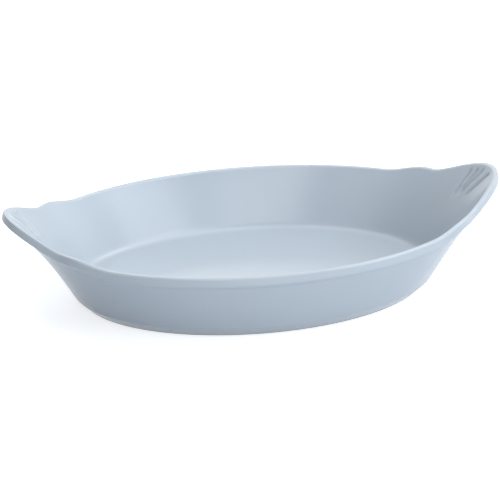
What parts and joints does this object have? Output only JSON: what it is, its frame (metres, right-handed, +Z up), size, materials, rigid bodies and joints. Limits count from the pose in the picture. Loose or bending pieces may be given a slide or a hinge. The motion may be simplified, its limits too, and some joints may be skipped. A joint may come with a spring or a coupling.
{
  "type": "gratin dish",
  "caption": "Oval glazed stoneware gratin dish with a flared wall, a rounded lip that rises to an ear at each end, fluted inside the ears, on a bare foot ring.",
  "frame": {"origin": "on the table, under the middle of the dish", "axes": "+X along the dish to one ear, +Y across it, +Z up"},
  "size_m": [0.3112, 0.173, 0.066],
  "materials": {
    "bare_clay": "fired stoneware, matt and slightly gritty, bare at the foot ring",
    "glaze": "satin pale blue-grey glaze, even, a little thicker in the cove and flutes"
  },
  "bodies": {
    "root": {"clay_body": "bare_clay", "glaze_coat": "glaze", "underside_glaze": "glaze"}
  },
  "joints": []
}
